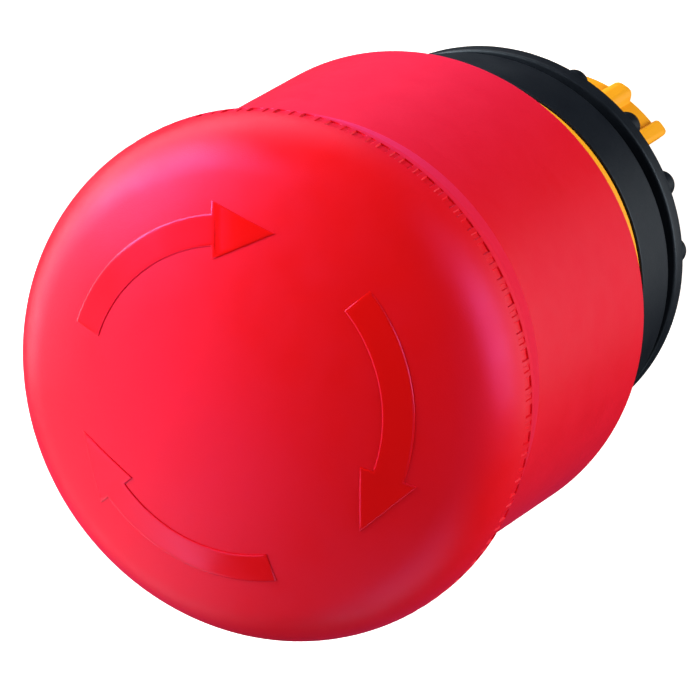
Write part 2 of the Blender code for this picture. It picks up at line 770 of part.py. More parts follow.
def main():
    clear_scene()
    red = material("red_plastic", (0.62, 0.012, 0.022), 0.45)
    black = material("black_plastic", (0.018, 0.021, 0.026), 0.5)
    yellow = material("yellow_plastic", (0.9, 0.42, 0.03), 0.45)
    white = material("white_plastic", (0.8, 0.8, 0.76), 0.4)
    rubber = material("seal_rubber", (0.01, 0.01, 0.011), 0.75)
    steel = material("steel", (0.6, 0.61, 0.62), 0.3, 1.0)
    spring_steel = material("spring_steel", (0.5, 0.5, 0.5), 0.25, 1.0)

    housing = empty("housing_frame")
    plunger_unit = empty("plunger_frame", housing)
    head = empty("head_frame", plunger_unit)
    pawl_middle_z = (PAWL_Z + PAWL_TOP_Z) / 2
    left = empty("left_pawl_frame", plunger_unit, (-NIB_X, 0.0, pawl_middle_z))
    right = empty("right_pawl_frame", plunger_unit, (NIB_X, 0.0, pawl_middle_z))
    washer_slide = empty("washer_frame", housing)
    nut_turn = empty("nut_frame", washer_slide)

    groups = {
        housing: [
            make_bezel(black),
            make_panel_gasket(rubber),
            make_body_seal(rubber),
            make_threaded_body(black),
            make_indicator_collar(yellow),
            make_latch_ring(steel),
            make_stem_seal(rubber),
            make_bayonet_ring(yellow),
            make_return_spring(spring_steel),
            make_head_spring(spring_steel),
        ],
        plunger_unit: [
            make_stem(steel),
            make_plunger(white),
            make_stop_disc(steel),
            make_cap_screw(steel),
            make_thrust_plate(white),
            make_retaining_clip(spring_steel),
            make_spring_washer(steel),
            make_torsion_spring(spring_steel),
        ],
        head: [make_mushroom_cap(red), make_head_skirt(red), make_cam_sleeve(white)],
        left: [make_pawl("latch_pawl_left", -1, steel)],
        right: [make_pawl("latch_pawl_right", 1, steel)],
        washer_slide: [make_thrust_washer(black)],
        nut_turn: [make_ring_nut(black)],
    }
    bpy.context.view_layer.update()
    for frame, pieces in groups.items():
        for piece in pieces:
            piece.parent = frame
            piece.matrix_parent_inverse = frame.matrix_world.inverted()


main()
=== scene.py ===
"""Looks of the emergency stop button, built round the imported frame.

Lengths are in millimetres up to the mesh builders, which turn them into metres. The axis is Z, and the
origin is in the panel's front face, as in the frame. The constants' angles round the axis are in degrees,
from +X towards +Y.
"""

import json
import math

import bmesh
import bpy
from mathutils import Matrix, Vector


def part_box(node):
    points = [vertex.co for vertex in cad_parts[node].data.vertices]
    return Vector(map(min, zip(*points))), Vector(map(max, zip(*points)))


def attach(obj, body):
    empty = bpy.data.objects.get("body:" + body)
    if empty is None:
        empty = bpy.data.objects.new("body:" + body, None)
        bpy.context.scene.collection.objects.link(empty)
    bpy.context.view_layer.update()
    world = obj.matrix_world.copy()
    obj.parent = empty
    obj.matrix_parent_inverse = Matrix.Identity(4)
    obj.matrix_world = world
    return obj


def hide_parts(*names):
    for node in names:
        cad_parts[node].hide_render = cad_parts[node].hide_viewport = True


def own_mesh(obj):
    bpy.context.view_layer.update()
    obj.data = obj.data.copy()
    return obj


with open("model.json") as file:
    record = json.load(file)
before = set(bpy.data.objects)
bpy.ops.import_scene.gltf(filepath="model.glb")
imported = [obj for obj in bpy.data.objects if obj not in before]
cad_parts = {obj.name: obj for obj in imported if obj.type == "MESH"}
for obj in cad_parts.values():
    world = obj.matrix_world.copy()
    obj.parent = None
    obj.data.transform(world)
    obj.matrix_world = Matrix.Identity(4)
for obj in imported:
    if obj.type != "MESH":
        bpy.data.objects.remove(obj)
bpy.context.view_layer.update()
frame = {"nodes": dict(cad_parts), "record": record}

MM = 0.001
ROUND_STEPS = 240  # steps round a large turned piece
SMALL_STEPS = 96
FILLET_STEPS = 5
SHARP_ANGLE = 35.0  # edges with a wider angle than this are shaded sharp, in degrees
BEVEL_ANGLE = 50.0  # edges with a wider angle than this are rounded, in degrees
NOISE_SPAN = (0.3, 0.7)  # where most values of a noise texture lie


def high(cad_node, axis=2):
    """A CAD node's highest coordinate along an axis, in millimetres."""
    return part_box(cad_node)[1][axis] / MM


def low(cad_node, axis=2):
    """A CAD node's lowest coordinate along an axis, in millimetres."""
    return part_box(cad_node)[0][axis] / MM


# Head
HEAD_R = high("mushroom_cap", 0)
HEAD_TOP_Z = high("mushroom_cap")
CROWN_R = 38.0
SHOULDER_R = 5.7
CAP_WALL = 1.8
CAP_RIM_Z = 35.0
CAP_LIP_Z = low("mushroom_cap")
CAP_LIP_R = 16.2
CAP_LIP_WALL = 1.2
CAP_LIP_ROOT_Z = 36.8
CAP_INNER_END = 35.0  # where the dome's inner face meets the lip's root, in degrees
CAP_LIP_CHAMFER = 0.15
NOTCHES = 60
NOTCH_HALF_WIDTH = 1.05  # in degrees
NOTCH_DEPTH = 0.12
NOTCH_EDGE = 0.25  # width of its sloping sides, in degrees
NOTCH_HEIGHT = 1.2
NOTCH_TOP = 0.4  # height of its sloping top, in degrees of the shoulder's arc
NOTCH_FOOT = 2.0  # height of its lower end over the rim, in degrees of the same arc
NOTCH_STEPS = 6
MARK_HALF_WIDTH = 0.45  # of the small mark between two notches, in degrees
MARK_DEPTH = 0.07

# Release arrows
ARROWS = 3
ARROW_TIP_AT = 312.4
ARROW_TIP_R = 12.4
ARROW_IN_R = 11.0
ARROW_OUT_R = 13.1
ARROW_HEAD_WIDTH = 3.9
ARROW_HEAD_SPAN = 22.0
ARROW_SPAN = 84.5
ARROW_HEIGHT = 0.07
ARROW_BEVEL = 0.1
ARROW_ROOT = 0.35  # how deep the arrows' sides reach into the dome
ARROW_STEPS = 44
ARROW_HEAD_STEPS = 14

# Skirt
SKIRT_R = 17.6
SKIRT_REAR_Z = low("head_skirt")
SKIRT_BORE_R = 16.0
FLARE_Z = 30.6
FLARE_R = high("head_skirt", 0)
WEB_Z = 29.3
WEB_TOP_Z = 31.0
STEM_HOLE_GAP = 0.35
CUP_GAP = 0.2  # round the dome's lip

# The four posts on the skirt's web that stop the turn
POST_R = (9.8, 11.8)
POST_SPAN = 8.0
POST_STARTS = (-20.0, 57.0, 160.0, 237.0)
POST_Z = (WEB_TOP_Z - 0.4, 34.2)  # from inside the web

# Front of the panel
BEZEL_R = high("bezel", 0)
BEZEL_TOP_Z = high("bezel")
BEZEL_BORE_R = 11.3
POCKET_R = 12.4
POCKET_Z = 1.9
GROOVE_R = (12.0, 13.7)
GROOVE_DEPTH = 1.3
COLLAR_R = 14.0
COLLAR_BORE_R = 12.6
COLLAR_FLANGE_R = 14.72
COLLAR_FLANGE_THICK = 1.0
LIP_SEAL_BORE_R = 6.85
LIP_SEAL_NECK_R = (8.0, 7.6)
LIP_SEAL_FOOT = 0.9
ROOF_Z = 18.5
ROOF_HOLE_R = 7.0

# Body, its thread, washer and nut
BODY_R = 10.95
BODY_REAR_Z = low("threaded_body")
BODY_BORE_R = 8.8
BODY_FLANGE_R = high("threaded_body", 0)
BODY_FLANGE_Z = 3.0
BODY_FLANGE_TOP_Z = high("threaded_body")
BODY_FLOOR_Z = -4.0
BODY_FLOOR_TOP_Z = -3.0
BODY_FLOOR_HOLE_R = 4.7
SPIGOT_BORE_R = 9.4
THREAD_PITCH = 1.5
THREAD_DEPTH = 0.55
THREAD_TOP_Z = 2.2
THREAD_MOUTH = 0.72  # share of the pitch that the groove takes
THREAD_FLANKS = 0.44  # share of the pitch that its two flanks take
THREAD_CHAMFER = 0.65
THREAD_ROWS = 110
THREAD_LEAD_IN = 0.7
THREAD_RUN_OUT = 0.5
KEY_WIDTH = 3.0
KEY_R = (BODY_R - 0.8, 12.0)
KEY_Z = (-1.6, -0.2)
KEYWAY_WIDTH = 3.2
KEYWAY_FLOOR_R = 10.2
KEYWAY_TOP_Z = -0.5
NUT_BORE_R = 11.35
NUT_R = 12.8
NUT_LUG_R = 1.05
NUT_LUG_TIP_R = 13.7
NUT_LUGS = 16
NUT_LUG_AT = 279.9
NUT_LUG_STEPS = 36  # steps of the nut's turning for each lug
NUT_EDGE = 0.75  # radius of the rounding at the nut's rear
NUT_TOP_EDGE = 0.3
NUT_EDGE_STEPS = 8
NUT_TOP_EDGE_STEPS = 4
NUT_LUG_FILLET = 0.25
NUT_BORE_EDGE = 0.3
NUT_THREAD_EDGE = 0.1  # height of the bore's rim beside the thread
NUT_THREAD_CREST = 0.2  # how far the thread stands in from the bore
NUT_THREAD_DEPTH = 0.35
NUT_THREAD_ROWS = 36
TAB_SIDE_GAP = 0.2  # of the washer's tab in the keyway
TAB_FLOOR_GAP = 0.35
TAB_ROOT = 0.6  # how far the tab reaches into the washer

# Rear bayonet ring
BAYONET_R = 9.15
BAYONET_BORE_R = 8.3
BAYONET_REAR_Z = -13.6
CAM_PLATE_R = 10.2
CAM_PLATE_START = 270.9
CAM_PLATE_SPAN = 49.0
LUG_REAR_Z = -15.0
LUG_TOP_Z = -10.5
WEDGE_LUG_R = 11.05
WEDGE_LUG_START = 289.1
WEDGE_LUG_SPAN = 13.3
WEDGE_LUG_NARROW = 3.0
SQUARE_LUG_R = 10.85
SQUARE_LUG_START = 271.0
SQUARE_LUG_SPAN = 6.9
LUG_ROOT = 0.5  # how far the lugs reach into the cam plate
LUG_SHY = 0.03  # how far their flat faces stay behind the plate's, so that no two lie in one plane

# Inside
STEM_R = high("stem", 0)
STEM_Z = (low("stem"), high("stem"))
CLIP_GROOVE = (1.4, -13.4, -12.6)  # radius, and its two heights
SCREW_R = 0.95
SCREW_HOLE_R = 1.15
SCREW_HOLE_DEPTH = 4.6
SCREW_HEAD_R = 2.5
SCREW_HEAD_HEIGHT = 1.6
SOCKET_R = (1.15, 1.1)  # at its mouth, and at its floor before that is made six-sided
SOCKET_HALF_WIDTH = 0.95
SOCKET_DEPTH = 1.0
CLIP_R = (1.65, 3.4)
CLIP_ENDS = (30.0, 330.0)
LATCH_NECK_R = 9.95
LATCH_CONE_Z = 7.5
LATCH_CONE_R = 11.49
PLUNGER_HUB_R = 4.2
PLATE_R = high("thrust_plate", 0)
PLATE_Z = (-12.3, -10.9)
PAD_X = (4.0, 7.0)
PAD_WIDTH = 5.0
PAD_TOP_Z = PLATE_Z[1] - 0.5  # inside the plate
WIRE_SIDES = 14


# ---------------------------------------------------------------- profiles and meshes


def arc(centre_r, centre_z, radius, start, end, steps):
    """Points of an arc in a profile, in degrees from the outward direction, both ends included."""
    turns = [math.radians(start + (end - start) * i / steps) for i in range(steps + 1)]
    return [(centre_r + radius * math.cos(t), centre_z + radius * math.sin(t)) for t in turns]


def filleted(corners, closed=True):
    """Corners of (radius, z, fillet) as points, with each corner rounded by its fillet."""
    points = []
    count = len(corners)
    for i, (r, z, fillet) in enumerate(corners):
        at_end = not closed and i in (0, count - 1)
        if fillet <= 0 or at_end:
            points.append((r, z))
            continue
        here = Vector((r, z))
        back = Vector(corners[i - 1][:2]) - here
        ahead = Vector(corners[(i + 1) % count][:2]) - here
        angle = back.angle(ahead)
        reach = min(fillet / math.tan(angle / 2), 0.49 * back.length, 0.49 * ahead.length)
        start = here + back.normalized() * reach
        end = here + ahead.normalized() * reach
        for k in range(FILLET_STEPS + 1):
            share = k / FILLET_STEPS
            near = start.lerp(here, share)
            far = here.lerp(end, share)
            points.append(tuple(near.lerp(far, share)))
    return points


def link(name, mesh, finish):
    made = bpy.data.objects.new(name, mesh)
    bpy.context.scene.collection.objects.link(made)
    mesh.materials.append(finish)
    return made


def smooth(made, sharp=SHARP_ANGLE):
    """Smooth shading that keeps flat faces flat beside their rounded edges."""
    made.data.shade_smooth()
    made.data.set_sharp_from_angle(angle=math.radians(sharp))
    step = made.modifiers.new("flat_faces", "WEIGHTED_NORMAL")
    step.keep_sharp = True
    step.weight = 60
    return made


def mesh_from(name, points, faces):
    mesh = bpy.data.meshes.new(name)
    mesh.from_pydata([(x * MM, y * MM, z * MM) for x, y, z in points], [], faces)
    bm = bmesh.new()
    bm.from_mesh(mesh)
    bmesh.ops.remove_doubles(bm, verts=bm.verts, dist=1e-7)
    bmesh.ops.recalc_face_normals(bm, faces=bm.faces)
    bm.to_mesh(mesh)
    bm.free()
    return mesh


def turned(name, outline, finish, steps=ROUND_STEPS, closed=True, warp=None, sharp=SHARP_ANGLE, angles=None):
    """A profile turned about Z, in equal steps or at the angles given, in radians.

    warp(row, angle, r, z) may move a point: it returns (r, z).
    """
    if angles is None:
        angles = [math.tau * i / steps for i in range(steps)]
    steps = len(angles)
    count = len(outline)
    points = []
    for angle in angles:
        for row, (r, z) in enumerate(outline):
            if warp is not None:
                r, z = warp(row, angle, r, z)
            points.append((r * math.cos(angle), r * math.sin(angle), z))
    faces = []
    rows = count if closed else count - 1
    for i in range(steps):
        here, there = i * count, (i + 1) % steps * count
        for row in range(rows):
            after = (row + 1) % count
            faces.append((here + row, there + row, there + after, here + after))
    return smooth(link(name, mesh_from(name, points, faces), finish), sharp)


def round_rims(made, width, segments):
    """Rounds a mesh's sharp edges, with the width in millimetres."""
    rim = made.modifiers.new("rounded_rims", "BEVEL")
    rim.width = width * MM
    rim.segments = segments
    rim.limit_method = "ANGLE"
    rim.angle_limit = math.radians(BEVEL_ANGLE)


def raised(name, outline, z, top_z, finish, bevel=0.12):
    """A flat outline raised from z to top_z, with its rims rounded."""
    bm = bmesh.new()
    base = bm.faces.new([bm.verts.new((x * MM, y * MM, z * MM)) for x, y in outline])
    grown = bmesh.ops.extrude_face_region(bm, geom=[base])["geom"]
    top = [item for item in grown if isinstance(item, bmesh.types.BMVert)]
    bmesh.ops.translate(bm, verts=top, vec=Vector((0, 0, (top_z - z) * MM)))
    bmesh.ops.recalc_face_normals(bm, faces=bm.faces)
    mesh = bpy.data.meshes.new(name)
    bm.to_mesh(mesh)
    bm.free()
    made = link(name, mesh, finish)
    round_rims(made, bevel, 3)
    return smooth(made)


def coiled(name, finish, z, top_z, radius, wire, turns, closed_turns, steps=40):
    """A spring of round wire, whose closed turns at both ends all but touch."""
    rise = top_z - z - wire
    flat = wire * 1.05
    middle = (rise - 2 * closed_turns * flat) / (turns - 2 * closed_turns)

    def height(turn):
        low_part = min(turn, closed_turns) * flat
        high_part = max(turn - (turns - closed_turns), 0.0) * flat
        open_part = min(max(turn - closed_turns, 0.0), turns - 2 * closed_turns) * middle
        return z + wire / 2 + low_part + open_part + high_part

    count = round(turns * steps)
    points = []
    for i in range(count + 1):
        turn = turns * i / count
        angle = math.tau * turn
        for k in range(WIRE_SIDES):
            lean = math.tau * k / WIRE_SIDES
            r = radius + wire / 2 * math.cos(lean)
            up = height(turn) + wire / 2 * math.sin(lean)
            points.append((r * math.cos(angle), r * math.sin(angle), up))
    faces = [tuple(range(WIRE_SIDES)), tuple(count * WIRE_SIDES + k for k in range(WIRE_SIDES))]
    for i in range(count):
        for k in range(WIRE_SIDES):
            here, after = i * WIRE_SIDES + k, i * WIRE_SIDES + (k + 1) % WIRE_SIDES
            faces.append((here, after, after + WIRE_SIDES, here + WIRE_SIDES))
    return smooth(link(name, mesh_from(name, points, faces), finish), sharp=60.0)


def thread_groove(z, angle):
    """Depth, from 0 to 1, of a right-hand thread of trapezoid section."""
    share = (z / THREAD_PITCH - angle / math.tau) % 1.0
    slope = abs(share - 0.5) * 2.0
    return min(max((THREAD_MOUTH - slope) / THREAD_FLANKS, 0.0), 1.0)


def polar(radius, degrees):
    """A point of the plane square to the axis, as (x, y)."""
    turn = math.radians(degrees)
    return radius * math.cos(turn), radius * math.sin(turn)


def sector_outline(in_r, out_r, start, end, steps, narrow=0.0):
    """Outline of a piece of a flat ring, in degrees, that may narrow outwards on both sides."""
    inner = [start + (end - start) * i / steps for i in range(steps + 1)]
    first, last = start + narrow, end - narrow
    outer = [first + (last - first) * i / steps for i in range(steps + 1)]
    return [polar(in_r, a) for a in inner] + [polar(out_r, a) for a in reversed(outer)]


def box_outline(near_x, far_x, near_y, far_y):
    """Outline of an upright rectangle in the plane square to the axis."""
    return [(near_x, near_y), (far_x, near_y), (far_x, far_y), (near_x, far_y)]


def stand_in(piece, cad_node, body):
    """The piece rides on the body and is shown in place of the CAD node."""
    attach(piece, body)
    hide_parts(cad_node)


# ---------------------------------------------------------------- materials


def node(tree, kind, **values):
    made = tree.nodes.new(kind)
    for key, value in values.items():
        setattr(made, key, value)
    return made


def noise(tree, coordinates, scale, detail=2.0, roughness=0.5):
    made = node(tree, "ShaderNodeTexNoise")
    made.inputs["Scale"].default_value = scale
    made.inputs["Detail"].default_value = detail
    made.inputs["Roughness"].default_value = roughness
    tree.links.new(coordinates, made.inputs["Vector"])
    return made.outputs["Fac"]


def ranged(tree, value, from_low, from_high, to_low, to_high):
    made = node(tree, "ShaderNodeMapRange")
    tree.links.new(value, made.inputs["Value"])
    made.inputs["From Min"].default_value = from_low
    made.inputs["From Max"].default_value = from_high
    made.inputs["To Min"].default_value = to_low
    made.inputs["To Max"].default_value = to_high
    return made.outputs["Result"]


def two_tone(tree, share, first, second):
    made = node(tree, "ShaderNodeMix", data_type="RGBA")
    tree.links.new(share, made.inputs["Factor"])
    made.inputs["A"].default_value = (*first, 1.0)
    made.inputs["B"].default_value = (*second, 1.0)
    return made.outputs["Result"]


def bump(tree, height, distance):
    made = node(tree, "ShaderNodeBump")
    made.inputs["Distance"].default_value = distance * MM
    made.inputs["Strength"].default_value = 1.0
    tree.links.new(height, made.inputs["Height"])
    return made.outputs["Normal"]


def shader_of(name):
    made = bpy.data.materials.new(name)
    made.use_nodes = True
    tree = made.node_tree
    shader = tree.nodes["Principled BSDF"]
    place = node(tree, "ShaderNodeTexCoord").outputs["Object"]
    return made, tree, shader, place


def moulded(name, dark, light, rough, grain, tint=(1.0, 1.0, 1.0), level=0.5, sheen=0.0, band=None):
    """Moulded plastic: cloudy gloss, slow colour drift, and spark-eroded grain of a depth and a size.

    Without grain it is polished. A band is a height and a lighter colour above it: painted light for a face
    that catches more light.
    """
    made, tree, shader, place = shader_of(name)
    drift = ranged(tree, noise(tree, place, 55.0, 3.0), *NOISE_SPAN, 0.0, 1.0)
    colour = two_tone(tree, drift, dark, light)
    # Above the band's height the colour turns lighter: painted light for the light that this part of the
    # piece catches
    if band is not None:
        from_z, above = band
        split = node(tree, "ShaderNodeSeparateXYZ")
        tree.links.new(place, split.inputs["Vector"])
        blend = node(tree, "ShaderNodeMix", data_type="RGBA")
        blur = 0.1
        edge = ranged(tree, split.outputs["Z"], (from_z - blur) * MM, (from_z + blur) * MM, 0.0, 1.0)
        tree.links.new(edge, blend.inputs["Factor"])
        tree.links.new(colour, blend.inputs["A"])
        blend.inputs["B"].default_value = (*above, 1.0)
        colour = blend.outputs["Result"]
    tree.links.new(colour, shader.inputs["Base Color"])
    gloss = ranged(tree, noise(tree, place, 420.0, 4.0), *NOISE_SPAN, rough - 0.04, rough + 0.05)
    tree.links.new(gloss, shader.inputs["Roughness"])
    shader.inputs["Specular IOR Level"].default_value = level
    shader.inputs["Specular Tint"].default_value = (*tint, 1.0)
    shader.inputs["Sheen Weight"].default_value = sheen
    shader.inputs["Sheen Roughness"].default_value = 0.5
    shader.inputs["Sheen Tint"].default_value = (*tint, 1.0)
    if grain is not None:
        depth, size = grain
        fine = noise(tree, place, 1.0 / (size * MM), 2.0, 0.6)
        tree.links.new(bump(tree, fine, depth), shader.inputs["Normal"])
    return made


LINE_SCALE = 400.0
LINE_SQUEEZE = 14.0  # how much shorter than wide the lines' pattern is


def metal(name, colour, rough):
    """Bright metal with fine drawn or turned lines and a cloudy plating."""
    made, tree, shader, place = shader_of(name)
    squeeze = node(tree, "ShaderNodeMapping")
    squeeze.inputs["Scale"].default_value = (1.0, 1.0, LINE_SQUEEZE)
    tree.links.new(place, squeeze.inputs["Vector"])
    drift = ranged(tree, noise(tree, place, 250.0, 4.0), *NOISE_SPAN, 0.0, 1.0)
    darker = tuple(0.82 * c for c in colour)
    tree.links.new(two_tone(tree, drift, darker, colour), shader.inputs["Base Color"])
    shader.inputs["Metallic"].default_value = 1.0
    scratch = noise(tree, squeeze.outputs["Vector"], LINE_SCALE, 5.0, 0.7)
    tree.links.new(ranged(tree, scratch, *NOISE_SPAN, rough - 0.06, rough + 0.1), shader.inputs["Roughness"])
    tree.links.new(bump(tree, scratch, 0.01), shader.inputs["Normal"])
    return made


def rubber_look(name):
    made, tree, shader, place = shader_of(name)
    drift = ranged(tree, noise(tree, place, 300.0, 4.0), *NOISE_SPAN, 0.0, 1.0)
    colour = two_tone(tree, drift, (0.008, 0.008, 0.009), (0.018, 0.018, 0.019))
    tree.links.new(colour, shader.inputs["Base Color"])
    gloss = ranged(tree, noise(tree, place, 900.0, 3.0), *NOISE_SPAN, 0.6, 0.8)
    tree.links.new(gloss, shader.inputs["Roughness"])
    tree.links.new(bump(tree, noise(tree, place, 5000.0, 2.0), 0.01), shader.inputs["Normal"])
    return made


PINK_GLOSS = (1.0, 0.18, 1.0)
BLUE_GLOSS = (0.72, 0.88, 1.0)
# Lighter, pinker red over the skirt's flared band: painted light for the light that the tilted flare catches
PAINTED_FLARE_LIGHT = (0.76, 0.009, 0.022)
RED_LOOK = {"tint": PINK_GLOSS, "level": 0.33, "sheen": 0.08}

RED_DOME = moulded(
    "red_dome", (0.68, 0.0038, 0.0011), (0.71, 0.0042, 0.0013), 0.38, grain=(0.010, 0.11), **RED_LOOK
)
RED_GLOSS = moulded("red_arrow", (0.67, 0.0038, 0.0011), (0.70, 0.0042, 0.0013), 0.16, grain=None, **RED_LOOK)
RED_SLEEVE = moulded(
    "red_sleeve",
    (0.68, 0.0042, 0.0020),
    (0.71, 0.0048, 0.0026),
    0.44,
    grain=(0.006, 0.14),
    # The flared band gets the lighter red: painted light
    band=(FLARE_Z, PAINTED_FLARE_LIGHT),
    **RED_LOOK,
)
BLACK = moulded(
    "black_plastic",
    (0.0034, 0.0048, 0.0080),
    (0.0048, 0.0066, 0.0106),
    0.44,
    grain=(0.012, 0.16),
    tint=BLUE_GLOSS,
    level=0.32,
)
YELLOW = moulded(
    "yellow_plastic", (0.88, 0.36, 0.009), (0.96, 0.43, 0.015), 0.42, grain=(0.006, 0.2), level=0.3
)
WHITE = moulded("white_plastic", (0.66, 0.65, 0.60), (0.74, 0.73, 0.68), 0.42, grain=(0.008, 0.2))
RUBBER = rubber_look("seal_rubber")
STEEL = metal("steel", (0.66, 0.67, 0.68), 0.26)
SPRING = metal("spring_steel", (0.55, 0.55, 0.56), 0.22)


# ---------------------------------------------------------------- head


def shoulder_centre():
    """Centre of the arc that rounds the dome's shoulder, as radius and height."""
    centre_r = HEAD_R - SHOULDER_R
    reach = CROWN_R - SHOULDER_R
    return centre_r, HEAD_TOP_Z - CROWN_R + math.sqrt(reach**2 - centre_r**2)


def dome_profile(inset, crown_steps, shoulder_steps, end=0.0):
    """The dome from its apex to its widest line, or to an angle above it, moved inwards by the inset."""
    centre_r, centre_z = shoulder_centre()
    tangent = math.degrees(math.acos(centre_r / (CROWN_R - SHOULDER_R)))
    crown = arc(0.0, HEAD_TOP_Z - CROWN_R, CROWN_R - inset, 90.0, tangent, crown_steps)
    shoulder = arc(centre_r, centre_z, SHOULDER_R - inset, tangent, end, shoulder_steps)
    return crown + shoulder[1:]


def make_cap():
    """Dome with a ring of small pockets in its rim, where it is snapped on the skirt."""
    centre_r, centre_z = shoulder_centre()
    pocket_top = math.degrees(math.asin((CAP_RIM_Z + NOTCH_HEIGHT - centre_z) / SHOULDER_R))
    rim = math.degrees(math.asin((CAP_RIM_Z - centre_z) / SHOULDER_R))
    outline = dome_profile(0.0, crown_steps=30, shoulder_steps=16, end=pocket_top + NOTCH_TOP)
    first = len(outline)
    outline += arc(centre_r, centre_z, SHOULDER_R, pocket_top, rim + NOTCH_FOOT, NOTCH_STEPS)
    last = len(outline) - 1
    # The narrow band below the pockets and its rounded edge
    outline += arc(centre_r, centre_z, SHOULDER_R, rim + 1.6, rim + 0.8, 1)
    rim_r = outline[-1][0]
    outline += [(rim_r - 0.03, CAP_RIM_Z + 0.02), (rim_r - 0.1, CAP_RIM_Z)]
    lip_in_r = CAP_LIP_R - CAP_LIP_WALL
    chamfer = CAP_LIP_CHAMFER
    outline += [(CAP_LIP_R, CAP_RIM_Z)]
    outline += [(CAP_LIP_R, CAP_LIP_Z + chamfer), (CAP_LIP_R - chamfer, CAP_LIP_Z)]
    outline += [(lip_in_r + chamfer, CAP_LIP_Z), (lip_in_r, CAP_LIP_Z + chamfer), (lip_in_r, CAP_LIP_ROOT_Z)]
    outline += reversed(dome_profile(CAP_WALL, crown_steps=12, shoulder_steps=6, end=CAP_INNER_END))
    outline[0] = (0.0, outline[0][1])
    outline[-1] = (0.0, outline[-1][1])
    edge = NOTCH_EDGE
    half = 180.0 / NOTCHES
    # Columns to one side of a notch's middle: the notch's side, then the side of the mark between two notches
    rise = (NOTCH_HALF_WIDTH, NOTCH_HALF_WIDTH + edge, half - MARK_HALF_WIDTH - edge, half - MARK_HALF_WIDTH)
    columns = [0.0, *rise, half, *(2 * half - x for x in reversed(rise))]
    angles = [math.radians(2 * half * i + x) for i in range(NOTCHES) for x in columns]

    def notched(row, angle, r, z):
        if not first <= row <= last:
            return r, z
        aside = abs((math.degrees(angle) + half) % (2 * half) - half)
        if aside < NOTCH_HALF_WIDTH + edge / 2:
            return r - NOTCH_DEPTH, z
        if aside > half - MARK_HALF_WIDTH - edge / 2:
            return r - MARK_DEPTH, z
        return r, z

    cap = turned("cap_dome", outline, RED_DOME, closed=False, warp=notched, angles=angles)
    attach(cap, "head")
    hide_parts("mushroom_cap")


def straight(start, end, steps):
    """Points that part a straight line into equal steps, without its start."""
    return [tuple(a + (b - a) * i / steps for a, b in zip(start, end)) for i in range(1, steps + 1)]


def arrow_outline(tip_at, grow):
    """An arrow's outline seen along the axis, grown outwards by a distance on all sides."""
    tip_mid = (ARROW_IN_R + ARROW_OUT_R) / 2
    half_head = ARROW_HEAD_WIDTH / 2
    base_at = tip_at + ARROW_HEAD_SPAN
    tail_at = tip_at + ARROW_SPAN
    slant = math.hypot(half_head, math.radians(ARROW_HEAD_SPAN) * tip_mid)
    side_grow = grow * slant / (math.radians(ARROW_HEAD_SPAN) * tip_mid)
    tip_grow = grow * slant / half_head

    def turn(distance, radius):
        return math.degrees(distance / radius)

    inner, outer = ARROW_IN_R - grow, ARROW_OUT_R + grow
    head_in = tip_mid - half_head - side_grow
    head_out = tip_mid + half_head + side_grow
    base = base_at + turn(grow, tip_mid)
    tail = tail_at + turn(grow, tip_mid)
    tip = tip_at - turn(tip_grow, tip_mid)
    steps = ARROW_STEPS
    points = [polar(inner, tail + (base - tail) * i / steps) for i in range(steps + 1)]
    points += [polar(head_in, base)]
    points += straight(polar(head_in, base), polar(ARROW_TIP_R, tip), ARROW_HEAD_STEPS)
    points += straight(polar(ARROW_TIP_R, tip), polar(head_out, base), ARROW_HEAD_STEPS)
    points += [polar(outer, base + (tail - base) * i / steps) for i in range(steps + 1)]
    return points


def arrow_top(first, count):
    """Faces of an arrow's top, strip by strip from its tail to its tip, over the last ring of points."""
    faces = []
    for i in range(ARROW_STEPS):
        mirror = count - 1 - i
        faces.append((first + i, first + i + 1, first + mirror - 1, first + mirror))
    # The head's root is one face with six corners: the shaft's end and the head's first strip
    head_in, head_out = ARROW_STEPS + 1, count - ARROW_STEPS - 2
    root = (first + ARROW_STEPS, first + head_in, first + head_in + 1)
    faces.append((*root, first + head_out - 1, first + head_out, first + head_out + 1))
    head_in += 1
    head_out -= 1
    while head_out - head_in > 2:
        faces.append((first + head_in, first + head_in + 1, first + head_out - 1, first + head_out))
        head_in += 1
        head_out -= 1
    faces.append((first + head_in, first + head_in + 1, first + head_out))
    return faces


def make_arrows():
    """Three polished arrows that stand on the dome and point clockwise."""
    centre_z = HEAD_TOP_Z - CROWN_R
    # How far each ring of points is grown outwards, and its height over the dome
    rings = (
        (ARROW_BEVEL * 0.15, -ARROW_ROOT),
        (ARROW_BEVEL * 0.05, ARROW_HEIGHT * 0.55),
        (-ARROW_BEVEL * 0.35, ARROW_HEIGHT * 0.88),
        (-ARROW_BEVEL * 1.1, ARROW_HEIGHT),
        (-ARROW_BEVEL * 2.6, ARROW_HEIGHT),
    )
    for number in range(ARROWS):
        tip_at = ARROW_TIP_AT - 360.0 / ARROWS * number
        points = []
        for grow, height in rings:
            for x, y in arrow_outline(tip_at, grow):
                points.append((x, y, centre_z + math.sqrt((CROWN_R + height) ** 2 - x**2 - y**2)))
        count = len(points) // len(rings)
        faces = []
        for ring in range(len(rings) - 1):
            for i in range(count):
                after = (i + 1) % count
                here, above = ring * count, (ring + 1) * count
                faces.append((here + i, here + after, above + after, above + i))
        faces += arrow_top((len(rings) - 1) * count, count)
        faces.append(tuple(range(count)))
        arrow = link(f"release_arrow_{number + 1}", mesh_from("release_arrow", points, faces), RED_GLOSS)
        smooth(arrow, sharp=60.0)
        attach(arrow, "head")


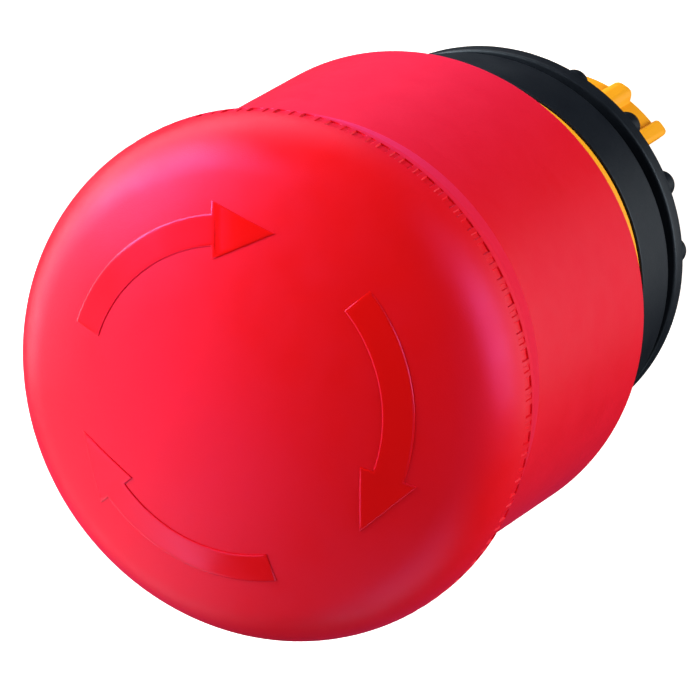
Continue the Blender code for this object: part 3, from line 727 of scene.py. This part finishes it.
def make_skirt():
    """Sleeve under the dome with its flared band, its web and the cup that takes the dome's lip."""
    cup_r = CAP_LIP_R + CUP_GAP
    hole_r = STEM_R + STEM_HOLE_GAP
    top_z = high("head_skirt")
    corners = [
        (SKIRT_BORE_R, SKIRT_REAR_Z, 0.5),
        (SKIRT_R, SKIRT_REAR_Z, 0.35),
        (SKIRT_R, FLARE_Z, 0.15),
        (FLARE_R - 0.15, top_z - 1.0, 0.5),
        (FLARE_R, top_z, 0.2),
        (cup_r, top_z, 0.15),
        (cup_r, WEB_TOP_Z, 0.3),
        (hole_r, WEB_TOP_Z, 0.15),
        (hole_r, WEB_Z, 0.15),
        (SKIRT_BORE_R, WEB_Z, 0.8),
    ]
    skirt = turned("skirt_sleeve", filleted(corners), RED_SLEEVE)
    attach(skirt, "head")
    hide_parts("head_skirt")
    for number, start in enumerate(POST_STARTS):
        outline = sector_outline(*POST_R, start, start + POST_SPAN, 4)
        post = raised(f"turn_stop_{number + 1}", outline, *POST_Z, RED_SLEEVE, bevel=0.2)
        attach(post, "head")


# ---------------------------------------------------------------- housing, washer and nut


def make_bezel():
    """Front ring with a groove for the gasket and a pocket for the body's flange."""
    corners = [
        (BEZEL_BORE_R, 0.0, 0.1),
        (GROOVE_R[0], 0.0, 0.08),
        (GROOVE_R[0], GROOVE_DEPTH, 0.0),
        (GROOVE_R[1], GROOVE_DEPTH, 0.0),
        (GROOVE_R[1], 0.0, 0.08),
        (BEZEL_R, 0.0, 0.3),
        (BEZEL_R, BEZEL_TOP_Z, 0.12),
        (POCKET_R, BEZEL_TOP_Z, 0.1),
        (POCKET_R, POCKET_Z, 0.0),
        (BEZEL_BORE_R, POCKET_Z, 0.1),
    ]
    stand_in(turned("front_bezel", filleted(corners), BLACK), "bezel", "housing")


def ring_corners(cad_node, bore, fillet):
    """A plain ring as tall and as wide as a CAD node."""
    radius, base, top = high(cad_node, 0), low(cad_node), high(cad_node)
    return [(bore, base, fillet), (radius, base, fillet), (radius, top, fillet), (bore, top, fillet)]


def make_seals():
    gasket = turned("gasket_ring", filleted(ring_corners("panel_gasket", GROOVE_R[0] + 0.1, 0.15)), RUBBER)
    stand_in(gasket, "panel_gasket", "housing")
    seal = turned("flange_seal", filleted(ring_corners("body_seal", BODY_R + 0.3, 0.3)), RUBBER)
    stand_in(seal, "body_seal", "housing")
    outer, base, top = high("stem_seal", 0), low("stem_seal"), high("stem_seal")
    corners = [
        (LIP_SEAL_BORE_R, base, 0.2),
        (outer, base, 0.15),
        (outer, base + LIP_SEAL_FOOT, 0.3),
        (LIP_SEAL_NECK_R[0], top - 0.25, 0.4),
        (LIP_SEAL_NECK_R[1], top, 0.15),
        (LIP_SEAL_BORE_R, top, 0.1),
    ]
    stand_in(turned("lip_seal", filleted(corners), RUBBER), "stem_seal", "housing")


def make_collar():
    base, top = low("indicator_collar"), high("indicator_collar")
    step_z = base + COLLAR_FLANGE_THICK
    corners = [
        (COLLAR_BORE_R, base, 0.1),
        (COLLAR_FLANGE_R, base, 0.05),
        (COLLAR_FLANGE_R, step_z, 0.2),
        (COLLAR_R, step_z, 0.15),
        (COLLAR_R, top, 0.7),
        (ROOF_HOLE_R, top, 0.2),
        (ROOF_HOLE_R, ROOF_Z, 0.2),
        (COLLAR_BORE_R, ROOF_Z, 0.5),
    ]
    piece = turned("collar_shell", filleted(corners), YELLOW)
    stand_in(piece, "indicator_collar", "housing")


def make_body():
    """Body with a real helical thread, cut through by the keyway, and the key that stands on it."""
    corners = [
        (BODY_R, BODY_FLANGE_Z, 0.0),
        (BODY_FLANGE_R, BODY_FLANGE_Z, 0.15),
        (BODY_FLANGE_R, BODY_FLANGE_TOP_Z, 0.25),
        (BODY_BORE_R, BODY_FLANGE_TOP_Z, 0.3),
        (BODY_BORE_R, BODY_FLOOR_TOP_Z, 0.4),
        (BODY_FLOOR_HOLE_R, BODY_FLOOR_TOP_Z, 0.15),
        (BODY_FLOOR_HOLE_R, BODY_FLOOR_Z, 0.15),
        (SPIGOT_BORE_R, BODY_FLOOR_Z, 0.3),
        (SPIGOT_BORE_R, BODY_REAR_Z, 0.15),
        (BODY_R - THREAD_CHAMFER, BODY_REAR_Z, 0.0),
    ]
    outline = filleted(corners)
    first = len(outline)
    height = BODY_FLANGE_Z - BODY_REAR_Z
    outline += [(BODY_R, BODY_REAR_Z + height * (i + 1) / (THREAD_ROWS + 1)) for i in range(THREAD_ROWS)]
    half_keyway = math.asin(KEYWAY_WIDTH / 2 / BODY_R)

    def threaded(row, angle, r, z):
        if row < first:
            return r, z
        lead_in = min((z - BODY_REAR_Z) / THREAD_LEAD_IN, 1.0)
        run_out = min(max((THREAD_TOP_Z - z) / THREAD_RUN_OUT, 0.0), 1.0)
        r -= THREAD_DEPTH * max(thread_groove(z, angle) * run_out, 1.0 - lead_in)
        if abs(angle - math.pi) < half_keyway and z < KEYWAY_TOP_Z:
            r = min(r, KEYWAY_FLOOR_R)
        return r, z

    body = turned("body_thread", outline, BLACK, 2 * ROUND_STEPS, warp=threaded, sharp=40.0)
    stand_in(body, "threaded_body", "housing")
    half = KEY_WIDTH / 2
    key = raised("body_key", box_outline(-half, half, *KEY_R), *KEY_Z, BLACK, bevel=0.2)
    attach(key, "housing")


def make_washer():
    """Flat washer whose tab runs in the body's keyway."""
    corners = ring_corners("thrust_washer", NUT_BORE_R, 0.25)
    stand_in(turned("nut_washer", filleted(corners), BLACK), "thrust_washer", "washer")
    base, top = low("thrust_washer"), high("thrust_washer")
    half = KEYWAY_WIDTH / 2 - TAB_SIDE_GAP
    tip, root = KEYWAY_FLOOR_R + TAB_FLOOR_GAP, NUT_BORE_R + TAB_ROOT
    tab = raised("washer_tab", box_outline(-root, -tip, -half, half), base + 0.1, top - 0.1, BLACK)
    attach(tab, "washer")


def make_nut():
    """Nut with round grip lugs whose ends are rounded over, and a thread in its bore."""
    base, top = low("ring_nut"), high("ring_nut")
    centre_r = NUT_LUG_TIP_R - NUT_LUG_R
    insets = []
    outline = []
    for i in range(NUT_EDGE_STEPS + 1):
        lean = math.radians(90.0 * i / NUT_EDGE_STEPS)
        insets.append(NUT_EDGE * (1 - math.sin(lean)))
        outline.append((NUT_R, base + NUT_EDGE * (1 - math.cos(lean))))
    for i in range(NUT_TOP_EDGE_STEPS + 1):
        lean = math.radians(90.0 * i / NUT_TOP_EDGE_STEPS)
        insets.append(NUT_TOP_EDGE * (1 - math.cos(lean)))
        outline.append((NUT_R, top - NUT_TOP_EDGE * (1 - math.sin(lean))))
    outer = len(outline)
    outline.append((NUT_BORE_R + NUT_BORE_EDGE, top))
    rows = NUT_THREAD_ROWS
    thread_top, thread_height = top - NUT_THREAD_EDGE, top - base - 2 * NUT_THREAD_EDGE
    outline += [(NUT_BORE_R, thread_top - thread_height * i / rows) for i in range(rows + 1)]
    outline.append((NUT_BORE_R + NUT_BORE_EDGE, base))
    pitch = math.tau / NUT_LUGS
    first_lug = math.radians(NUT_LUG_AT)

    def lobed(row, angle, r, z):
        if row < outer:
            inset = insets[row]
            body = NUT_R - inset
            aside = (angle - first_lug + pitch / 2) % pitch - pitch / 2
            room = (NUT_LUG_R - inset) ** 2 - (centre_r * math.sin(aside)) ** 2
            if room <= 0:
                return body, z
            lug = centre_r * math.cos(aside) + math.sqrt(room)
            blend = max(NUT_LUG_FILLET - abs(lug - body), 0.0) / NUT_LUG_FILLET
            return max(lug, body) + blend * blend * NUT_LUG_FILLET / 4, z
        if outer < row < outer + rows + 2:
            return r - NUT_THREAD_CREST + NUT_THREAD_DEPTH * thread_groove(z, angle), z
        return r, z

    nut = turned("grip_nut", outline, BLACK, NUT_LUGS * NUT_LUG_STEPS, warp=lobed, sharp=40.0)
    stand_in(nut, "ring_nut", "nut")


def make_bayonet():
    """Rear ring with two cam plates, each with a wedge-shaped and a square lug."""
    top = high("bayonet_ring")
    corners = [
        (BAYONET_BORE_R, BAYONET_REAR_Z, 0.25),
        (BAYONET_R, BAYONET_REAR_Z, 0.25),
        (BAYONET_R, top, 0.25),
        (BAYONET_BORE_R, top, 0.25),
    ]
    ring = turned("rear_ring", filleted(corners), YELLOW)
    stand_in(ring, "bayonet_ring", "housing")
    root_r = (BAYONET_R + BAYONET_BORE_R) / 2
    lug_root_r = CAM_PLATE_R - LUG_ROOT
    # The lugs' arcs have few steps, because a bevel can't be wider than the steps beside it
    pieces = (
        ("cam_plate", root_r, CAM_PLATE_R, CAM_PLATE_START, CAM_PLATE_SPAN, 0.0, 16, 0.2),
        ("wedge_lug", lug_root_r, WEDGE_LUG_R, WEDGE_LUG_START, WEDGE_LUG_SPAN, WEDGE_LUG_NARROW, 3, 0.42),
        ("square_lug", lug_root_r, SQUARE_LUG_R, SQUARE_LUG_START, SQUARE_LUG_SPAN, 0.0, 2, 0.35),
    )
    for pair, side in enumerate((0.0, 180.0)):
        for name, in_r, out_r, start, span, narrow, steps, bevel in pieces:
            shy = 0.0 if name == "cam_plate" else LUG_SHY
            outline = sector_outline(in_r, out_r, side + start, side + start + span, steps, narrow)
            piece = raised(f"{name}_{pair + 1}", outline, LUG_REAR_Z + shy, LUG_TOP_Z - shy, YELLOW, bevel)
            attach(piece, "housing")


# ---------------------------------------------------------------- inside


def make_stem():
    rear, top = STEM_Z
    groove_r, groove_z, groove_top_z = CLIP_GROOVE
    corners = [
        (0.0, rear, 0.0),
        (STEM_R, rear, 0.35),
        (STEM_R, groove_z, 0.05),
        (groove_r, groove_z, 0.05),
        (groove_r, groove_top_z, 0.05),
        (STEM_R, groove_top_z, 0.05),
        (STEM_R, top, 0.2),
        (SCREW_HOLE_R, top, 0.15),
        (SCREW_HOLE_R, top - SCREW_HOLE_DEPTH, 0.0),
        (0.0, top - SCREW_HOLE_DEPTH, 0.0),
    ]
    stem = turned("spindle", filleted(corners, closed=False), STEEL, SMALL_STEPS, closed=False)
    stand_in(stem, "stem", "plunger_unit")


def make_thrust_plate():
    bore = STEM_R + 0.2
    base, top = PLATE_Z
    corners = [(bore, base, 0.15), (PLATE_R, base, 0.3), (PLATE_R, top, 0.3), (bore, top, 0.15)]
    plate = turned("foot_plate", filleted(corners), WHITE, SMALL_STEPS * 2)
    stand_in(plate, "thrust_plate", "plunger_unit")
    half = PAD_WIDTH / 2
    for name, side in (("left", -1), ("right", 1)):
        near, far = sorted((side * PAD_X[0], side * PAD_X[1]))
        outline = box_outline(near, far, -half, half)
        pad = raised(f"foot_pad_{name}", outline, low("thrust_plate"), PAD_TOP_Z, WHITE, bevel=0.3)
        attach(pad, "plunger_unit")


def make_clip():
    """Open spring clip in the stem's groove."""
    outline = sector_outline(*CLIP_R, *CLIP_ENDS, 60)
    clip = raised("spring_clip", outline, low("retaining_clip"), high("retaining_clip"), SPRING)
    stand_in(clip, "retaining_clip", "plunger_unit")


def make_screw():
    """Screw with a hexagon socket."""
    base, top = low("cap_screw"), high("cap_screw")
    seat = top - SCREW_HEAD_HEIGHT
    corners = [
        (0.0, base, 0.0),
        (SCREW_R, base, 0.15),
        (SCREW_R, seat, 0.0),
        (SCREW_HEAD_R, seat, 0.1),
        (SCREW_HEAD_R, top, 0.35),
        (SOCKET_R[0], top, 0.05),
        (SOCKET_R[1], top - SOCKET_DEPTH, 0.0),
        (0.0, top - SOCKET_DEPTH, 0.0),
    ]
    outline = filleted(corners, closed=False)
    socket = len(outline) - 2

    def hexagon(row, angle, r, z):
        if row != socket:
            return r, z
        aside = (angle + math.pi / 6) % (math.pi / 3) - math.pi / 6
        return SOCKET_HALF_WIDTH / math.cos(aside), z

    screw = turned("socket_screw", outline, STEEL, SMALL_STEPS, closed=False, warp=hexagon)
    stand_in(screw, "cap_screw", "plunger_unit")


def make_latch_ring():
    base, top, radius = low("latch_ring"), high("latch_ring"), high("latch_ring", 0)
    corners = [
        (LATCH_CONE_R, base, 0.15),
        (radius, base, 0.2),
        (radius, top, 0.2),
        (LATCH_NECK_R, top, 0.12),
        (LATCH_CONE_R, LATCH_CONE_Z, 0.3),
    ]
    ring = turned("latch_cone", filleted(corners), STEEL)
    stand_in(ring, "latch_ring", "housing")


RETURN_COIL = {"radius": 6.4, "wire": 0.8, "turns": 5.0, "closed_turns": 0.6}
HEAD_COIL = {"radius": 11.2, "wire": 0.8, "turns": 4.0, "closed_turns": 0.5, "steps": 64}
TORSION_COIL = {"radius": 3.8, "wire": 0.5, "turns": 3.0, "closed_turns": 0.0}


def make_springs():
    """Coils and their seat; the press makes the return and the head spring 4.5 mm shorter."""
    base, top = low("return_spring"), high("return_spring")
    back = coiled("return_coil", SPRING, base, top, **RETURN_COIL)
    stand_in(back, "return_spring", "housing")
    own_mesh(back)
    base, top = low("head_spring"), high("head_spring")
    lift = coiled("head_coil", SPRING, base, top, **HEAD_COIL)
    stand_in(lift, "head_spring", "housing")
    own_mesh(lift)
    base, top = low("torsion_spring"), high("torsion_spring")
    twist = coiled("torsion_coil", SPRING, base, top, **TORSION_COIL)
    stand_in(twist, "torsion_spring", "plunger_unit")
    ring = turned("spring_seat", filleted(ring_corners("spring_washer", PLUNGER_HUB_R + 0.2, 0.1)), STEEL)
    stand_in(ring, "spring_washer", "plunger_unit")


# ---------------------------------------------------------------- stage


CAMERA_TILT = 28.33  # between the line of sight and the object's axis, in degrees
CAMERA_ROLL = 31.66  # about the line of sight, in degrees
CAMERA_DISTANCE = 708.9
SENSOR = 36.0
FOCAL_WIDTHS = 14.139  # focal length over the frame's width
NECK_ASIDE = (4.835, 4.326)  # where the skirt's rear centre lies, right of and above the middle


def camera_matrix():
    """The camera's turn, with its right, up and back directions as columns."""
    tilt = math.radians(CAMERA_TILT)
    roll = math.radians(CAMERA_ROLL)
    right = Vector((-math.sin(roll), -math.cos(tilt) * math.cos(roll), -math.sin(tilt) * math.cos(roll)))
    up = Vector((math.cos(roll), -math.cos(tilt) * math.sin(roll), -math.sin(tilt) * math.sin(roll)))
    back = Vector((0.0, -math.sin(tilt), math.cos(tilt)))
    return Matrix((right, up, back)).transposed()


def make_camera():
    turn = camera_matrix()
    data = bpy.data.cameras.new("camera")
    data.sensor_width = SENSOR
    data.lens = FOCAL_WIDTHS * SENSOR
    data.clip_end = 20.0
    camera = bpy.data.objects.new("camera", data)
    bpy.context.scene.collection.objects.link(camera)
    neck = Vector((0.0, 0.0, SKIRT_REAR_Z))
    seen = Vector((NECK_ASIDE[0], NECK_ASIDE[1], -CAMERA_DISTANCE))
    camera.matrix_world = Matrix.Translation((neck - turn @ seen) * MM) @ turn.to_4x4()
    bpy.context.scene.camera = camera
    return turn


# The softboxes' sizes and places are in metres
SOFTBOX_SIZE = 0.35
SOFTBOX_DISTANCE = 0.5
LIT_POINT = Vector((0.0, 0.0, 0.02))
# Name, power in watts, and direction from the object: right, up and towards the camera
SOFTBOXES = (
    ("high_left", 5.4, (-0.80, 0.50, 0.20)),
    ("left", 0.48, (-0.95, 0.10, 0.30)),
    ("low_left", 0.75, (-0.80, -0.50, 0.30)),
    ("below", 0.62, (0.10, -1.0, 0.10)),
    ("right", 2.45, (0.97, 0.07, 0.36)),
    ("low_front", 0.22, (0.40, -0.45, 0.80)),
    ("front_right", 0.28, (0.75, 0.40, 0.50)),
    ("left_behind", 1.4, (-0.95, 0.15, -0.35)),
    ("high_left_behind", 1.0, (-0.65, 0.70, -0.35)),
    ("low_left_behind", 0.5, (-0.75, -0.60, -0.30)),
    ("high_behind", 0.75, (-0.20, 1.0, -0.30)),
    ("right_behind", 0.5, (0.95, 0.10, -0.30)),
)


def make_lights(turn):
    for name, power, direction in SOFTBOXES:
        data = bpy.data.lights.new(f"softbox_{name}", "AREA")
        data.shape = "SQUARE"
        data.size = SOFTBOX_SIZE
        data.energy = power
        light = bpy.data.objects.new(f"softbox_{name}", data)
        bpy.context.scene.collection.objects.link(light)
        way = (turn @ Vector(direction)).normalized()
        light.location = LIT_POINT + way * SOFTBOX_DISTANCE
        light.rotation_euler = (-way).to_track_quat("-Z", "Y").to_euler()


FLOOR_SIZE = 3.0  # in metres
FLOOR_GAP = 0.1


def make_floor():
    """White ground just below the object."""
    z = low("bayonet_ring") - FLOOR_GAP
    bm = bmesh.new()
    bmesh.ops.create_grid(bm, x_segments=1, y_segments=1, size=FLOOR_SIZE)
    bmesh.ops.translate(bm, verts=bm.verts, vec=(0, 0, z * MM))
    mesh = bpy.data.meshes.new("floor")
    bm.to_mesh(mesh)
    bm.free()
    made, tree, shader, place = shader_of("floor")
    drift = noise(tree, place, 2.0, 2.0)
    tree.links.new(two_tone(tree, drift, (0.58, 0.58, 0.58), (0.60, 0.60, 0.60)), shader.inputs["Base Color"])
    shader.inputs["Roughness"].default_value = 0.9
    shader.inputs["Specular IOR Level"].default_value = 0.1
    shader.inputs["Emission Color"].default_value = (1.0, 1.0, 1.0, 1.0)
    shader.inputs["Emission Strength"].default_value = 1.0
    floor = link("floor", mesh, made)
    # Softboxes below the floor light the object too, and the floor's own light and reflection don't reach it
    floor.visible_shadow = False
    floor.visible_diffuse = False
    floor.visible_glossy = False


def make_world():
    world = bpy.data.worlds.new("studio")
    bpy.context.scene.world = world
    world.use_nodes = True
    background = world.node_tree.nodes["Background"]
    background.inputs["Color"].default_value = (0.93, 0.95, 1.0, 1.0)
    background.inputs["Strength"].default_value = 0.01


# The CAD nodes that are seen as they are
ROUNDED_NODES = ("plunger", "cam_sleeve", "latch_pawl_left", "latch_pawl_right", "stop_disc")


def finish_cad_nodes():
    """Gives every CAD node its material, and rounds the edges of those that no piece stands for."""
    slots = {
        "black_plastic": BLACK,
        "yellow_plastic": YELLOW,
        "white_plastic": WHITE,
        "seal_rubber": RUBBER,
        "steel": STEEL,
        "spring_steel": SPRING,
        "red_dome": RED_DOME,
        "red_sleeve": RED_SLEEVE,
    }
    for part in frame["record"]["subparts"]:
        made = frame["nodes"][part["node"]]
        made.data.materials.clear()
        made.data.materials.append(slots[part["material_slot"]])
        if part["node"] in ROUNDED_NODES:
            round_rims(made, 0.12, 2)


camera_turn = make_camera()
finish_cad_nodes()
make_cap()
make_arrows()
make_skirt()
make_bezel()
make_seals()
make_collar()
make_body()
make_washer()
make_nut()
make_bayonet()
make_stem()
make_thrust_plate()
make_clip()
make_screw()
make_latch_ring()
make_springs()
make_floor()
make_world()
make_lights(camera_turn)
bpy.context.scene.view_settings.view_transform = "Standard"
